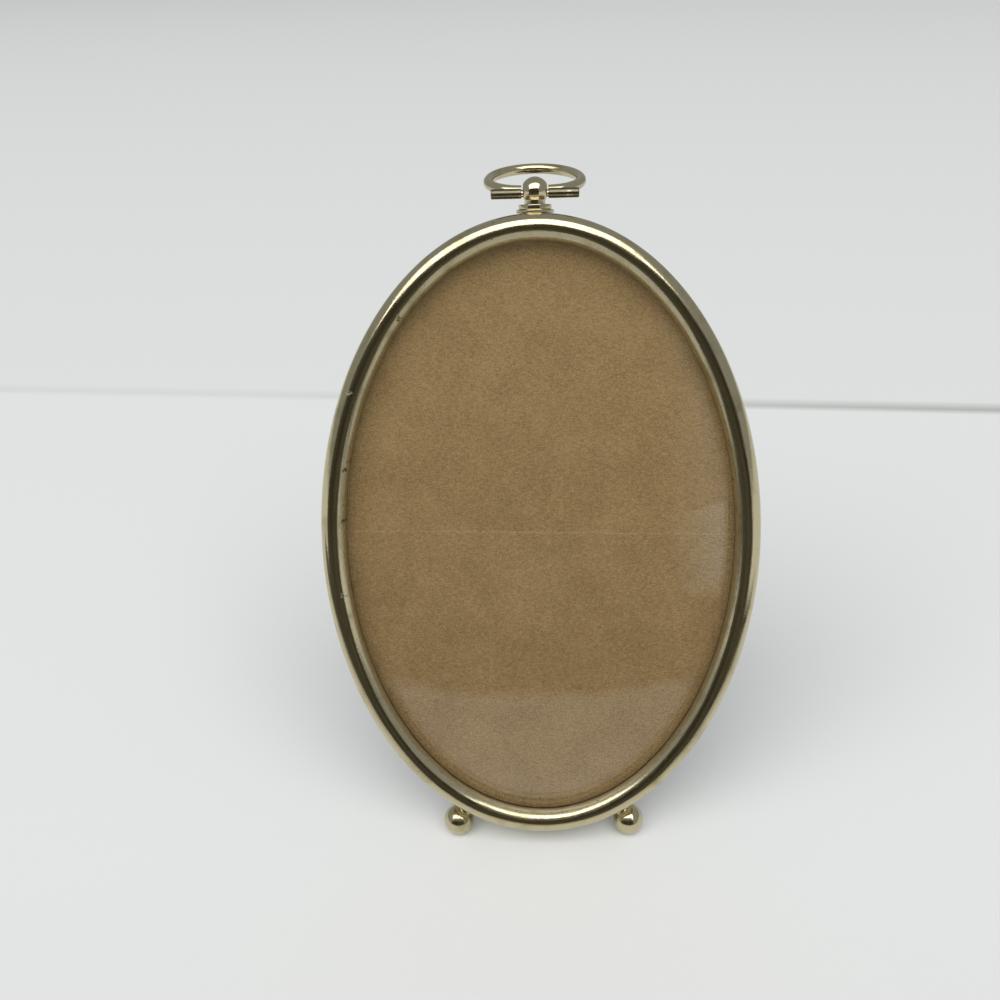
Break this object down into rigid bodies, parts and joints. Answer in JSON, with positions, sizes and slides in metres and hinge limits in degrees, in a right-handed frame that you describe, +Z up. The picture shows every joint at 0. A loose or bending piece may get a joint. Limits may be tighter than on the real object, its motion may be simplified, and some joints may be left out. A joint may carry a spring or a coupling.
{
  "type": "oval picture frame",
  "caption": "Small oval metal picture frame with domed glass, ball feet, a pivoting hanging ring on a finial and an easel leg behind.",
  "frame": {"origin": "middle of the footprint, on the table", "axes": "front of the frame faces -Y, +X to the viewer's right, +Z up"},
  "size_m": [0.109, 0.0722, 0.166],
  "materials": {
    "plated_metal": "pale brass plating, polished and lightly worn",
    "raw_brass": "machined, dull",
    "brassed_steel": "thin brass wash over stamped steel",
    "clear_glass": "clear, polished, domed",
    "kraft_card": "plain brown kraft, matt",
    "grey_board": "pressed board, matt",
    "covering_paper": "black embossed covering paper, matt"
  },
  "bodies": {
    "frame": {"oval_moulding": "plated_metal", "moulding_joint_plate": "raw_brass", "domed_glass": "clear_glass", "kraft_insert": "kraft_card", "back_board": "grey_board", "back_cover": "covering_paper", "finial_lower_washer": "plated_metal", "finial_upper_washer": "plated_metal", "finial_knob": "plated_metal", "finial_nut": "raw_brass", "left_foot": "plated_metal", "right_foot": "plated_metal", "foot_nuts": "raw_brass", "back_hinge_leaf": "brassed_steel", "back_hinge_rivets": "brassed_steel", "hinge_pin": "brassed_steel", "turn_button_rivets": "brassed_steel"},
    "ring": {"ring_pin": "plated_metal", "left_ring_sleeve": "plated_metal", "right_ring_sleeve": "plated_metal", "ring_bow": "plated_metal"},
    "leg": {"leg_hinge_leaf": "brassed_steel", "leg_hinge_rivets": "brassed_steel", "leg_board": "grey_board", "leg_cover": "covering_paper"},
    "upper_right_turn_button": {"upper_right_turn_button": "brassed_steel"},
    "upper_left_turn_button": {"upper_left_turn_button": "brassed_steel"},
    "lower_left_turn_button": {"lower_left_turn_button": "brassed_steel"},
    "lower_right_turn_button": {"lower_right_turn_button": "brassed_steel"}
  },
  "joints": [
    {"name": "ring_pivot", "type": "hinge", "parent": "frame", "child": "ring", "pos_m": [0, 0.01308, 0.16229], "axis": [1, 0, 0], "range_deg": [-42, 185]},
    {"name": "leg_hinge", "type": "hinge", "parent": "frame", "child": "leg", "pos_m": [0, 0.00206, 0.10282], "axis": [1, 0, 0], "range_deg": [-30, 0]},
    {"name": "upper_right_turn_button_pivot", "type": "hinge", "parent": "frame", "child": "upper_right_turn_button", "pos_m": [0.02757, 0.00825, 0.1327], "axis": [0, 0.9659, -0.2588], "continuous": true},
    {"name": "upper_left_turn_button_pivot", "type": "hinge", "parent": "frame", "child": "upper_left_turn_button", "pos_m": [-0.02757, 0.00825, 0.1327], "axis": [0, 0.9659, -0.2588], "continuous": true},
    {"name": "lower_left_turn_button_pivot", "type": "hinge", "parent": "frame", "child": "lower_left_turn_button", "pos_m": [-0.02757, -0.01994, 0.02748], "axis": [0, 0.9659, -0.2588], "continuous": true},
    {"name": "lower_right_turn_button_pivot", "type": "hinge", "parent": "frame", "child": "lower_right_turn_button", "pos_m": [0.02757, -0.01994, 0.02748], "axis": [0, 0.9659, -0.2588], "continuous": true}
  ]
}
